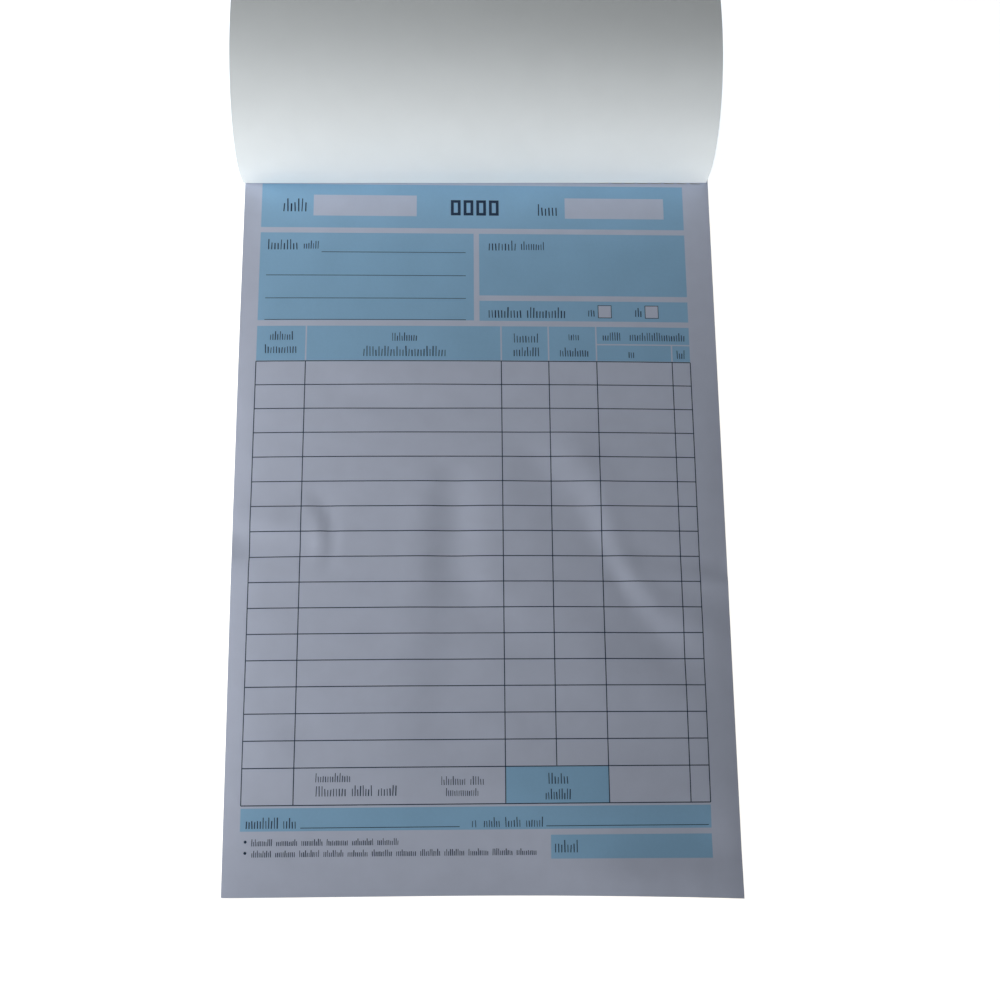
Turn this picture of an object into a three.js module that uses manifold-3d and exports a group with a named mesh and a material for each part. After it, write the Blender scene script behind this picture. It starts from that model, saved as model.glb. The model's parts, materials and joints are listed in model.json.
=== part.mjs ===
// Bill book: a pad of printed leaves in sets of an original and a duplicate, bound along the head
// between a card cover and a grey board by two wire staples and a folded binding tape. The cover
// is turned over the head: it rises from its crease, curls back and rests its free edge on the table.
//
// X runs across the page, Y from the foot of the page to its head, and Z up. The origin is the
// centre of the back board's underside. Lengths are millimetres, and angles are degrees.

import * as THREE from "three";
import { mergeVertices } from "three/addons/utils/BufferGeometryUtils.js";
import Module from "manifold-3d";

// Driving dimensions of the pad
const pageWidth = 140;
const pageLength = 215;
const bindingStrip = 8.5;
const boardThickness = 1.6;
const leafThickness = 0.08;
const leafAir = 0.02;
const coverThickness = 0.3;

// The sets of leaves: the top ones leaf by leaf, the rest in blocks
const looseSets = 5;
const blockCount = 9;
const setsPerBlock = 5;
const leavesPerSet = 2;

// The carbon sheet that lies under the first original
const carbonThickness = 0.04;
const carbonSideMargin = 2;
const carbonHeadMargin = 3;
const carbonFootMargin = 4;

// The binding tape, from the front flange over the head to the back board
const tapeThickness = 0.2;
const tapeSetback = 1;
const tapeOnBack = 12;

// The wire staples
const wireDiameter = 0.6;
const wireSides = 8;
const stapleCrown = 12;
const stapleFromMiddle = 38;
const stapleFromHead = 4.25;
const clinchLength = 4;
const wireBendRadius = 0.9;
const wireSteps = 60;
const legClearance = 0.3;
const seatGap = 0.05;

// The knife perforation of the originals, just inside the crease
const slitLength = 3;
const slitTie = 1;
const slitWidth = 0.3;
const slitFromCrease = 1.2;

// The curl of the cover: narrow strips of the one card, each turned on from the one before
const bendCount = 4;
const firstBendLength = 12.4;
const bendLengthGrowth = 3.4;
const creaseOpening = 88.3;
const firstTurn = 37;
const turnStep = 5.9;
const bendGap = 0.4;
const landingGap = 0.05;

// What follows from them
const head = pageLength / 2;
const foot = -pageLength / 2;
const crease = head - bindingStrip;
const leafPitch = leafThickness + leafAir;
const carbonPitch = carbonThickness + leafAir;
const leafCount = leavesPerSet * (looseSets + blockCount * setsPerBlock);
const padTop = boardThickness + leafCount * leafPitch + carbonPitch;
const coverTop = padTop + coverThickness;
const tapeTop = coverTop + tapeThickness;
const stapleLine = head - stapleFromHead;
const legHole = wireDiameter + 2 * legClearance;
const wireRadius = wireDiameter / 2;
const clinchPocketDepth = seatGap + wireDiameter + legClearance;

const finishes = {
  coverCard: { color: 0xe4e9ec, roughness: 0.8, metalness: 0 },
  original: { color: 0xd9dbe4, roughness: 0.85, metalness: 0 },
  duplicate: { color: 0xe6d98f, roughness: 0.85, metalness: 0 },
  leafBlock: { color: 0xd8d6cd, roughness: 0.9, metalness: 0 },
  carbon: { color: 0x1d2238, roughness: 0.55, metalness: 0 },
  greyBoard: { color: 0x8d8a84, roughness: 0.95, metalness: 0 },
  tape: { color: 0x2f5f86, roughness: 0.7, metalness: 0 },
  wire: { color: 0xb9bcc0, roughness: 0.3, metalness: 1 },
};

const book = new THREE.Group();
const wasm = await Module();
wasm.setup();

function addPiece(parent, name, geometry, finish) {
  const piece = new THREE.Mesh(geometry, new THREE.MeshStandardMaterial(finish));
  piece.name = name;
  parent.add(piece);
  return piece;
}

// Closed bodies for boolean cuts
function solidOf(geometry) {
  const bare = geometry.index ? geometry.toNonIndexed() : geometry.clone();
  bare.deleteAttribute("normal");
  bare.deleteAttribute("uv");
  const merged = mergeVertices(bare);
  const mesh = new wasm.Mesh({
    numProp: 3,
    vertProperties: merged.attributes.position.array,
    triVerts: new Uint32Array(merged.index.array),
  });
  return new wasm.Manifold(mesh);
}

function geometryOf(solid) {
  const mesh = solid.getMesh();
  const geometry = new THREE.BufferGeometry();
  geometry.setAttribute("position", new THREE.BufferAttribute(mesh.vertProperties, 3));
  geometry.setIndex(new THREE.BufferAttribute(mesh.triVerts, 1));
  geometry.computeVertexNormals();
  return geometry;
}

function boxSolid(low, high) {
  const size = high.map((value, axis) => value - low[axis]);
  const middle = high.map((value, axis) => (value + low[axis]) / 2);
  const box = new THREE.BoxGeometry(...size);
  box.translate(...middle);
  return solidOf(box);
}

function cut(solid, cutters) {
  return cutters.reduce((left, cutter) => left.subtract(cutter), solid);
}

// The four places where a staple's leg goes through the pad
const stapleCentres = [-stapleFromMiddle, stapleFromMiddle];
const legPlaces = stapleCentres.flatMap((x) => [x - stapleCrown / 2, x + stapleCrown / 2]);

// Punches that run past both faces of what they cut
function legPunches(thickness) {
  const half = legHole / 2;
  return legPlaces.map((x) =>
    boxSolid(
      [x - half, stapleLine - half, -thickness],
      [x + half, stapleLine + half, 2 * thickness],
    ),
  );
}

function perforationKnife() {
  const slitPitch = slitLength + slitTie;
  const count = Math.floor((pageWidth - slitTie) / slitPitch);
  const firstLeft = (slitTie - count * slitPitch) / 2;
  const low = crease + slitFromCrease - slitWidth / 2;
  return Array.from({ length: count }, (unused, index) => {
    const left = firstLeft + index * slitPitch;
    return boxSolid(
      [left, low, -leafThickness],
      [left + slitLength, low + slitWidth, 2 * leafThickness],
    );
  });
}

// A flat sheet or stack of sheets, from one Y to another, punched for the staples' legs
function sheet(fromY, toY, thickness) {
  const plain = boxSolid([-pageWidth / 2, fromY, 0], [pageWidth / 2, toY, thickness]);
  return cut(plain, legPunches(thickness));
}

function addBackBoard() {
  // the tape lies in a rebate, flush with the underside
  const rebate = boxSolid(
    [-pageWidth, head - tapeOnBack, -boardThickness],
    [pageWidth, head + tapeOnBack, tapeThickness],
  );
  const board = cut(sheet(foot, head, boardThickness), [rebate, ...clinchPockets()]);
  addPiece(book, "back_board", geometryOf(board), finishes.greyBoard);
}

// The hollows that the clinched ends of the staples press into the back
function clinchPockets() {
  const reach = stapleCrown / 2 + legHole / 2;
  return stapleCentres.map((x) =>
    boxSolid(
      [x - reach, stapleLine - legHole / 2, -boardThickness],
      [x + reach, stapleLine + legHole / 2, clinchPocketDepth],
    ),
  );
}

function addBindingTape() {
  const profile = new THREE.Shape();
  profile.moveTo(crease + tapeSetback, coverTop);
  profile.lineTo(head, coverTop);
  profile.lineTo(head, tapeThickness);
  profile.lineTo(head - tapeOnBack, tapeThickness);
  profile.lineTo(head - tapeOnBack, 0);
  profile.lineTo(head + tapeThickness, 0);
  profile.lineTo(head + tapeThickness, tapeTop);
  profile.lineTo(crease + tapeSetback, tapeTop);
  const strip = new THREE.ExtrudeGeometry(profile, { depth: pageWidth, bevelEnabled: false });
  // the profile's own X and Y become the part's Y and Z
  strip.rotateY(Math.PI / 2);
  strip.rotateX(Math.PI / 2);
  strip.translate(-pageWidth / 2, 0, 0);
  const tape = cut(solidOf(strip), [...legPunches(tapeTop), ...clinchPockets()]);
  addPiece(book, "binding_tape", geometryOf(tape), finishes.tape);
}

// The wire's path: clinched end, leg, crown, leg, clinched end, with round corners
function staplePath(centre) {
  const top = tapeTop + seatGap + wireRadius;
  const bottom = seatGap + wireRadius;
  const half = stapleCrown / 2;
  const corners = [
    [-half + clinchLength, bottom],
    [-half, bottom],
    [-half, top],
    [half, top],
    [half, bottom],
    [half - clinchLength, bottom],
  ].map(([x, z]) => new THREE.Vector3(centre + x, stapleLine, z));
  const path = new THREE.CurvePath();
  let from = corners[0];
  for (let index = 1; index < corners.length - 1; index += 1) {
    const corner = corners[index];
    const before = new THREE.Vector3().subVectors(corners[index - 1], corner);
    const after = new THREE.Vector3().subVectors(corners[index + 1], corner);
    const bendStart = before.setLength(wireBendRadius).add(corner);
    const bendEnd = after.setLength(wireBendRadius).add(corner);
    path.add(new THREE.LineCurve3(from, bendStart));
    path.add(new THREE.QuadraticBezierCurve3(bendStart, corner, bendEnd));
    from = bendEnd;
  }
  path.add(new THREE.LineCurve3(from, corners[corners.length - 1]));
  return path;
}

function addStaples() {
  // a flat of the wire's section faces the tape
  const turn = Math.PI / wireSides;
  const across = wireRadius / Math.cos(turn);
  const ring = Array.from({ length: wireSides }, (unused, index) => {
    const angle = turn * (2 * index + 1);
    return new THREE.Vector2(across * Math.cos(angle), across * Math.sin(angle));
  });
  const names = ["staple_left", "staple_right"];
  stapleCentres.forEach((centre, index) => {
    const wire = new THREE.ExtrudeGeometry(new THREE.Shape(ring), {
      steps: wireSteps,
      extrudePath: staplePath(centre),
    });
    addPiece(book, names[index], wire, finishes.wire);
  });
}

// Two digits, as in leaf_01_original
function twoDigits(number) {
  return String(number).padStart(2, "0");
}

function addLeaves() {
  const plainLeaf = sheet(foot, head, leafThickness);
  const perforatedLeaf = cut(plainLeaf, perforationKnife());
  for (let set = 1; set <= looseSets; set += 1) {
    const fromTop = leavesPerSet * (set - 1);
    const originalFloor = boardThickness + (leafCount - 1 - fromTop) * leafPitch;
    const lift = set === 1 ? carbonPitch : 0;
    const label = twoDigits(set);
    const original = geometryOf(perforatedLeaf);
    const duplicate = geometryOf(plainLeaf);
    addPiece(book, `leaf_${label}_original`, original, finishes.original)
      .position.z = originalFloor + lift;
    addPiece(book, `leaf_${label}_duplicate`, duplicate, finishes.duplicate)
      .position.z = originalFloor - leafPitch;
  }
}

function addLeafBlocks() {
  const leavesPerBlock = leavesPerSet * setsPerBlock;
  for (let block = 0; block < blockCount; block += 1) {
    const firstSet = looseSets + block * setsPerBlock + 1;
    const lastSet = firstSet + setsPerBlock - 1;
    const name = `sets_${twoDigits(firstSet)}_to_${twoDigits(lastSet)}`;
    const stack = geometryOf(sheet(foot, head, leavesPerBlock * leafPitch - leafAir));
    const blocksBelow = blockCount - 1 - block;
    addPiece(book, name, stack, finishes.leafBlock)
      .position.z = boardThickness + blocksBelow * leavesPerBlock * leafPitch;
  }
}

function addCarbonSheet() {
  const width = pageWidth - 2 * carbonSideMargin;
  const low = foot + carbonFootMargin;
  const high = crease - carbonHeadMargin;
  const carbon = new THREE.BoxGeometry(width, high - low, carbonThickness);
  addPiece(book, "carbon_sheet", carbon, finishes.carbon)
    .position.set(0, (low + high) / 2, padTop - leafPitch - carbonPitch + carbonThickness / 2);
}

// The last strip's turn is what lets the free edge of the cover down onto the table
function lastTurn(hingeHeight, tangent, panelLength) {
  const half = coverThickness / 2;
  const drop = (hingeHeight - landingGap) / Math.hypot(panelLength, half);
  const slope = Math.asin(drop) - Math.atan2(half, panelLength);
  return 180 + THREE.MathUtils.radToDeg(slope) - tangent;
}

function addCover() {
  const flange = geometryOf(sheet(crease + bendGap / 2, head, coverThickness));
  addPiece(book, "cover_flange", flange, finishes.coverCard).position.z = padTop;

  let hinge = new THREE.Group();
  hinge.position.set(0, crease, padTop + coverThickness / 2);
  book.add(hinge);
  let height = hinge.position.z;
  let tangent = 0;
  let cardLeft = pageLength - bindingStrip;
  for (let bend = 0; bend <= bendCount; bend += 1) {
    const isPanel = bend === bendCount;
    const length = isPanel ? cardLeft : firstBendLength + bend * bendLengthGrowth;
    let turn = bend === 0 ? creaseOpening : firstTurn - (bend - 1) * turnStep;
    if (isPanel) turn = lastTurn(height, tangent, length);
    hinge.rotation.x = -THREE.MathUtils.degToRad(turn);

    const farGap = isPanel ? 0 : bendGap / 2;
    const cardLength = length - bendGap / 2 - farGap;
    const card = new THREE.BoxGeometry(pageWidth, cardLength, coverThickness);
    const name = isPanel ? "cover_panel" : `cover_bend_${bend + 1}`;
    addPiece(hinge, name, card, finishes.coverCard)
      .position.y = -bendGap / 2 - cardLength / 2;

    tangent += turn;
    height += length * Math.sin(THREE.MathUtils.degToRad(tangent));
    cardLeft -= length;
    const next = new THREE.Group();
    next.position.y = -length;
    hinge.add(next);
    hinge = next;
  }
}

addBackBoard();
addLeafBlocks();
addLeaves();
addCarbonSheet();
addCover();
addBindingTape();
addStaples();

export default book;
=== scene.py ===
"""Bill book with its card cover turned back over the head: printed leaves, card, tape and wire staples."""
import json
import math
import random

import bmesh
import bpy
from bpy.props import FloatProperty, FloatVectorProperty, PointerProperty
from mathutils import Matrix, Vector


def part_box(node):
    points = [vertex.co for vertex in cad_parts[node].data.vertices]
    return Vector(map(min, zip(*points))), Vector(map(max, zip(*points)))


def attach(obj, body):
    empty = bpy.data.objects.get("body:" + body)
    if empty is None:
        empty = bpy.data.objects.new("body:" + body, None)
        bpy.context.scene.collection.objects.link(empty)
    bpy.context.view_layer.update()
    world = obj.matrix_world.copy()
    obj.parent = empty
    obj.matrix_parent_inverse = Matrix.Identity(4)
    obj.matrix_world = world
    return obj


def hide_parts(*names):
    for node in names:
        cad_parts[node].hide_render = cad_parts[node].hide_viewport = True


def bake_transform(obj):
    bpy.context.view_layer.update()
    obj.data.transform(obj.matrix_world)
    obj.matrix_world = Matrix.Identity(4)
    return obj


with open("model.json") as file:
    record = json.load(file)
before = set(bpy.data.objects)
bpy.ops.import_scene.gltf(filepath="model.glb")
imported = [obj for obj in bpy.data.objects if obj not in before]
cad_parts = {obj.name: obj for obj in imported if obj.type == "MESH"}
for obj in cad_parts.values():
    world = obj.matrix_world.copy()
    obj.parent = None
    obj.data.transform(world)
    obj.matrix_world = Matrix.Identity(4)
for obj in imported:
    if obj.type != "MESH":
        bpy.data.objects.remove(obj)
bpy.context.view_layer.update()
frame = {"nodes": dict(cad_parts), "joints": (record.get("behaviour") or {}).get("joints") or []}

bl_info = {
    "name": "Bill book",
    "version": (1, 0, 0),
    "blender": (4, 5, 0),
    "location": "3D View > Sidebar > Bill book",
    "description": "Makes a head-bound bill book with its card cover turned back",
    "category": "Add Mesh",
}

MM = 0.001
JOINTS = {joint["name"]: joint for joint in frame["joints"]}


def node_box(node):
    """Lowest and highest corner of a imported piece, in metres; stops the script if it isn't there."""
    if node not in frame["nodes"]:
        raise RuntimeError(f"the frame has no piece named {node}")
    low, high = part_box(node)
    return Vector(low), Vector(high)


def joint_place(name):
    """Where a joint's axis crosses the pad's middle plane, in metres."""
    if name not in JOINTS:
        raise RuntimeError(f"the frame has no joint named {name}")
    return Vector(JOINTS[name]["pos_m"])


def hexed(code):
    """A hex code as three shares of one."""
    return tuple(int(code[place:place + 2], 16) / 255 for place in (1, 3, 5))


LEAF_LOW, LEAF_HIGH = node_box("leaf_01_original")
CREASE = joint_place("cover_fold")

# The page in millimetres, X from its middle line and Y from the middle of its length
HALF_PAGE = LEAF_HIGH.x / MM
HEAD = LEAF_HIGH.y / MM
FOOT = LEAF_LOW.y / MM
CREASE_LINE = CREASE.y / MM

# Colours without a setting of their own: label, its line, zinc, carbon coat and the room's light
LABEL_WHITE = hexed("#F3F5F4")
LABEL_LINE = hexed("#1F3E66")
ZINC_GREY = hexed("#B4B8BC")
CARBON_BLUE = hexed("#232A48")
ROOM_WHITE = hexed("#F2F4F8")

# The two faces of a thin body
LOWER, UPPER = 0, 1

# Material places on the printed leaves
PAPER, PALE_INK, DARK_INK = 0, 1, 2


class BillBookForm(bpy.types.PropertyGroup):
    """The printed leaves: their paper, their inks and how the top one lies."""

    paper: FloatVectorProperty(
        name="Paper", description="White bond of the originals, sRGB",
        default=hexed("#CDD5E9"), subtype="COLOR_GAMMA", min=0, max=1)
    duplicate: FloatVectorProperty(
        name="Duplicate", description="Canary paper of the duplicates, sRGB",
        default=hexed("#F0DF96"), subtype="COLOR_GAMMA", min=0, max=1)
    pale_ink: FloatVectorProperty(
        name="Pale ink", description="Ink of the form's panels, sRGB",
        default=hexed("#97C5E7"), subtype="COLOR_GAMMA", min=0, max=1)
    dark_ink: FloatVectorProperty(
        name="Dark ink", description="Ink of the rules and the lettering, sRGB",
        default=hexed("#1D3552"), subtype="COLOR_GAMMA", min=0, max=1)
    rule_width: FloatProperty(
        name="Rule width", description="Width of the table's rules",
        default=0.28 * MM, min=0.1 * MM, max=1 * MM, unit="LENGTH")
    crown: FloatProperty(
        name="Crown", description="How far the top leaf stands off the pad in its lower half",
        default=2.5 * MM, min=0, max=3 * MM, unit="LENGTH")
    bend_length: FloatProperty(
        name="Bend length", description="How much of the top leaf bends when it is lifted",
        default=20 * MM, min=5 * MM, max=60 * MM, unit="LENGTH")


class BillBookCover(bpy.types.PropertyGroup):
    """The card cover."""

    inside: FloatVectorProperty(
        name="Inside", description="Uncoated white inside of the card, sRGB",
        default=hexed("#EAF0F2"), subtype="COLOR_GAMMA", min=0, max=1)
    outside: FloatVectorProperty(
        name="Outside", description="Blue print on the outside of the card, sRGB",
        default=hexed("#5B9CC6"), subtype="COLOR_GAMMA", min=0, max=1)
    fold_radius: FloatProperty(
        name="Fold radius", description="Reach of the sharp fold at the crease",
        default=0.7 * MM, min=0.3 * MM, max=2 * MM, unit="LENGTH")
    sag: FloatProperty(
        name="Sag", description="How far the free part of the card hangs under its chord",
        default=1.2 * MM, min=0, max=3 * MM, unit="LENGTH")


class BillBookBinding(bpy.types.PropertyGroup):
    """The tape, the staples and the board."""

    tape: FloatVectorProperty(
        name="Tape", description="Dyed cotton of the binding tape, sRGB",
        default=hexed("#2B5880"), subtype="COLOR_GAMMA", min=0, max=1)
    board: FloatVectorProperty(
        name="Board", description="Grey of the recycled board, sRGB",
        default=hexed("#9A968E"), subtype="COLOR_GAMMA", min=0, max=1)
    fold_radius: FloatProperty(
        name="Tape fold", description="Radius of the tape's folds",
        default=0.5 * MM, min=0.25 * MM, max=1 * MM, unit="LENGTH")
    board_wear: FloatProperty(
        name="Board wear", description="Radius that handling gives the board's edges",
        default=0.25 * MM, min=0, max=0.6 * MM, unit="LENGTH")


class BillBookStage(bpy.types.PropertyGroup):
    """Floor, lights and camera."""

    floor: FloatVectorProperty(
        name="Floor", description="Pale paper sweep under the pad, sRGB",
        default=hexed("#F4F4F4"), subtype="COLOR_GAMMA", min=0, max=1)
    front_power: FloatProperty(
        name="Front light", description="Power of the low soft light in front of the foot",
        default=7.2, min=0, unit="POWER")
    window_power: FloatProperty(
        name="Window light", description="Power of the low soft light close to the left of the page",
        default=0.95, min=0, unit="POWER")
    ceiling_power: FloatProperty(
        name="Ceiling light", description="Power of the soft light over the head of the page",
        default=0.216, min=0, unit="POWER")
    sky: FloatProperty(
        name="Room light", description="Strength of the even light from all round",
        default=0.0, min=0)
    glow: FloatProperty(
        name="Floor glow", description="Light that the paper sweep gives off, as a lit table does",
        default=0.92, min=0)
    lens: FloatProperty(
        name="Lens", description="Focal length on a 36 mm wide sensor",
        default=46.8, min=10, max=200, subtype="DISTANCE_CAMERA")


# Colours and nodes

def linear(colour):
    """An sRGB colour, three shares of one, as the linear colour with alpha that a shader takes."""
    def channel(value):
        if value <= 0.04045:
            return value / 12.92
        return ((value + 0.055) / 1.055) ** 2.4
    return tuple(channel(value) for value in colour) + (1.0,)


def shaded(colour, factor):
    """The linear colour made darker or lighter."""
    return tuple(min(1.0, channel * factor) for channel in colour[:3]) + (1.0,)


def set_inputs(node, inputs):
    """Gives a node's inputs plain values, or links them to a socket or to a node's first output."""
    for name, value in inputs.items():
        if isinstance(value, bpy.types.Node):
            value = value.outputs[0]
        if isinstance(value, bpy.types.NodeSocket):
            node.id_data.links.new(value, node.inputs[name])
        else:
            node.inputs[name].default_value = value


def add_node(tree, kind, inputs, **settings):
    """Adds a node with its own settings and its inputs."""
    node = tree.nodes.new(kind)
    for name, value in settings.items():
        setattr(node, name, value)
    set_inputs(node, inputs)
    return node


def start_material(name):
    """A new material with its node tree, its shader and the part's own coordinates in millimetres."""
    material = bpy.data.materials.new(name)
    material.use_nodes = True
    tree = material.node_tree
    place = add_node(tree, "ShaderNodeTexCoord", {})
    scale = add_node(tree, "ShaderNodeVectorMath", {0: place.outputs["Object"], "Scale": 1 / MM},
                     operation="SCALE")
    return material, tree, tree.nodes["Principled BSDF"], scale.outputs[0]


def mottled(tree, factor, low, high, colour, dark, light):
    """The sRGB colour, from dark to light times as bright as factor goes from low to high."""
    base = linear(colour)
    share = add_node(tree, "ShaderNodeMapRange", {"Value": factor, "From Min": low, "From Max": high})
    shade = add_node(tree, "ShaderNodeMix", {0: share, 6: shaded(base, dark), 7: shaded(base, light)},
                     data_type="RGBA")
    return shade.outputs[2]


def bond_paper(name, colour):
    """Uncoated bond paper: matt, faintly cloudy where the fibres lie thick, with a fine felt grain."""
    material, tree, shader, place = start_material(name)
    # formation clouds of about 7 mm
    clouds = add_node(tree, "ShaderNodeTexNoise", {"Vector": place, "Scale": 1 / 7.0, "Detail": 4.0})
    # felt grain is about 0.2 mm; drawn at 0.7 mm so that it shows
    grain = add_node(tree, "ShaderNodeTexNoise",
                     {"Vector": place, "Scale": 1 / 0.7, "Detail": 5.0, "Roughness": 0.65})
    relief = add_node(tree, "ShaderNodeBump",
                      {"Height": grain, "Distance": 0.03 * MM, "Strength": 0.18})
    set_inputs(shader, {
        "Base Color": mottled(tree, clouds, 0.3, 0.7, colour, 0.975, 1.025),
        "Normal": relief, "Roughness": 0.72, "IOR": 1.5, "Specular IOR Level": 0.35})
    return material


def printing_ink(name, colour, mottle=0.05):
    """Offset ink on bond: it takes the paper's grain and lies a little thinner between the fibres."""
    material, tree, shader, place = start_material(name)
    # broad unevenness of the rollers, about 18 mm
    rollers = add_node(tree, "ShaderNodeTexNoise", {"Vector": place, "Scale": 1 / 18.0, "Detail": 2.0})
    # pick of the paper, about 0.9 mm
    pick = add_node(tree, "ShaderNodeTexNoise",
                    {"Vector": place, "Scale": 1 / 0.9, "Detail": 4.0, "Roughness": 0.7})
    both = add_node(tree, "ShaderNodeMath", {0: pick, 1: 0.5, 2: rollers}, operation="MULTIPLY_ADD")
    relief = add_node(tree, "ShaderNodeBump",
                      {"Height": pick, "Distance": 0.03 * MM, "Strength": 0.12})
    set_inputs(shader, {
        "Base Color": mottled(tree, both, 0.45, 1.05, colour, 1 - mottle, 1 + mottle),
        "Normal": relief, "Roughness": 0.6, "IOR": 1.5, "Specular IOR Level": 0.4})
    return material


def bleached_card(name, colour):
    """Inside of a duplex card: bleached board, matt and soft, faintly cloudy, with a fine grain."""
    material, tree, shader, place = start_material(name)
    # formation clouds of about 11 mm
    clouds = add_node(tree, "ShaderNodeTexNoise", {"Vector": place, "Scale": 1 / 11.0, "Detail": 4.0})
    # the board's grain is about 0.3 mm; drawn at 0.9 mm so that it shows
    grain = add_node(tree, "ShaderNodeTexNoise",
                     {"Vector": place, "Scale": 1 / 0.9, "Detail": 4.0, "Roughness": 0.6})
    relief = add_node(tree, "ShaderNodeBump",
                      {"Height": grain, "Distance": 0.03 * MM, "Strength": 0.12})
    set_inputs(shader, {
        "Base Color": mottled(tree, clouds, 0.3, 0.7, colour, 0.985, 1.01),
        "Normal": relief, "Roughness": 0.78, "IOR": 1.5, "Specular IOR Level": 0.3})
    return material


def printed_card(name, colour):
    """Outside of the card: clay-coated, printed in one flat colour, with a low sheen and rubbed spots."""
    material, tree, shader, place = start_material(name)
    # unevenness of the rollers, about 25 mm
    rollers = add_node(tree, "ShaderNodeTexNoise", {"Vector": place, "Scale": 1 / 25.0, "Detail": 3.0})
    # spots of about 6 mm that hands have rubbed
    rub = add_node(tree, "ShaderNodeTexNoise",
                   {"Vector": place, "Scale": 1 / 6.0, "Detail": 6.0, "Roughness": 0.7})
    gloss = add_node(tree, "ShaderNodeMapRange",
                     {"Value": rub, "From Min": 0.35, "From Max": 0.75, "To Min": 0.36, "To Max": 0.55})
    set_inputs(shader, {
        "Base Color": mottled(tree, rollers, 0.3, 0.7, colour, 0.94, 1.04),
        "Roughness": gloss, "IOR": 1.5, "Specular IOR Level": 0.5})
    return material


def grey_board(name, colour):
    """Recycled grey board: matt, soft, speckled with darker and lighter fibres."""
    material, tree, shader, place = start_material(name)
    # fibre bundles are about 0.5 mm; drawn at 1.1 mm so that they show
    fibres = add_node(tree, "ShaderNodeTexNoise",
                      {"Vector": place, "Scale": 1 / 1.1, "Detail": 6.0, "Roughness": 0.75})
    relief = add_node(tree, "ShaderNodeBump",
                      {"Height": fibres, "Distance": 0.08 * MM, "Strength": 0.5})
    set_inputs(shader, {
        "Base Color": mottled(tree, fibres, 0.38, 0.66, colour, 0.66, 1.2),
        "Normal": relief, "Roughness": 0.92, "IOR": 1.5, "Specular IOR Level": 0.2})
    return material


def cotton_tape(name, colour):
    """Woven cotton tape, filled with size: a fine plain weave with a painted highlight on its threads and
    painted shade between them.
    """
    material, tree, shader, place = start_material(name)
    # threads are 0.35 mm apart; drawn at 0.8 mm so that they show
    thread = 0.8
    # a wave texture's bands are a twentieth of a turn apart at scale 1
    scale = math.tau / 20 / thread
    waves = []
    for direction in ("X", "Y"):
        wave = add_node(tree, "ShaderNodeTexWave",
                        {"Vector": place, "Scale": scale, "Distortion": 0.6, "Detail": 1.0},
                        wave_type="BANDS", bands_direction=direction, wave_profile="SIN")
        waves.append(wave.outputs["Fac"])
    weave = add_node(tree, "ShaderNodeMath", {0: waves[0], 1: waves[1]}, operation="MAXIMUM")
    relief = add_node(tree, "ShaderNodeBump",
                      {"Height": weave, "Distance": 0.08 * MM, "Strength": 0.6})
    # the colour follows the weave: a painted highlight on the threads and painted shade in the gaps between
    # them
    set_inputs(shader, {
        "Base Color": mottled(tree, weave, 0.3, 1.0, colour, 0.72, 1.15),
        "Normal": relief, "Roughness": 0.74, "IOR": 1.5, "Specular IOR Level": 0.3,
        "Sheen Weight": 0.25, "Sheen Roughness": 0.5})
    return material


def galvanised_wire(name, colour):
    """Drawn steel wire with a thin zinc coat: grey, softly bright, a little cloudy."""
    material, tree, shader, place = start_material(name)
    # clouds of about 0.8 mm in the zinc
    spangle = add_node(tree, "ShaderNodeTexNoise", {"Vector": place, "Scale": 1 / 0.8, "Detail": 3.0})
    gloss = add_node(tree, "ShaderNodeMapRange",
                     {"Value": spangle, "From Min": 0.3, "From Max": 0.7, "To Min": 0.24, "To Max": 0.42})
    set_inputs(shader, {
        "Base Color": mottled(tree, spangle, 0.3, 0.7, colour, 0.82, 1.1),
        "Roughness": gloss, "Metallic": 1.0})
    return material


def carbon_coat(name, colour):
    """Wax and carbon black on tissue: blue-black with a dull, greasy shine and rubbed paler patches."""
    material, tree, shader, place = start_material(name)
    # patches of about 14 mm where the coat is rubbed
    rub = add_node(tree, "ShaderNodeTexNoise",
                   {"Vector": place, "Scale": 1 / 14.0, "Detail": 6.0, "Roughness": 0.6})
    gloss = add_node(tree, "ShaderNodeMapRange",
                     {"Value": rub, "From Min": 0.3, "From Max": 0.7, "To Min": 0.3, "To Max": 0.55})
    # the tissue's grain is about 0.2 mm; drawn at 0.7 mm so that it shows
    grain = add_node(tree, "ShaderNodeTexNoise", {"Vector": place, "Scale": 1 / 0.7, "Detail": 4.0})
    relief = add_node(tree, "ShaderNodeBump",
                      {"Height": grain, "Distance": 0.02 * MM, "Strength": 0.2})
    set_inputs(shader, {
        "Base Color": mottled(tree, rub, 0.35, 0.7, colour, 0.75, 1.5),
        "Roughness": gloss, "Normal": relief, "IOR": 1.44, "Specular IOR Level": 0.5})
    return material


def sweep_paper(name, settings):
    """Heavy paper of a studio's sweep: matt, faintly uneven over a hand's breadth, and lit up evenly."""
    material, tree, shader, place = start_material(name)
    # unevenness of about 120 mm
    clouds = add_node(tree, "ShaderNodeTexNoise", {"Vector": place, "Scale": 1 / 120.0, "Detail": 2.0})
    set_inputs(shader, {
        "Base Color": mottled(tree, clouds, 0.3, 0.7, settings.floor, 0.99, 1.0),
        "Emission Color": linear(settings.floor), "Emission Strength": settings.glow, "Roughness": 0.9})
    return material


# Thin bodies over a grid

def grid_lines(low, high, step, marks=()):
    """Rising numbers from low to high that hold every mark between them and leave no gap over step."""
    stops = sorted({round(low, 4), round(high, 4), *(round(m, 4) for m in marks if low < m < high)})
    lines = [stops[0]]
    for start, stop in zip(stops, stops[1:]):
        count = max(1, math.ceil((stop - start) / step))
        lines += [start + (stop - start) * index / count for index in range(1, count + 1)]
    return lines


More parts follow.
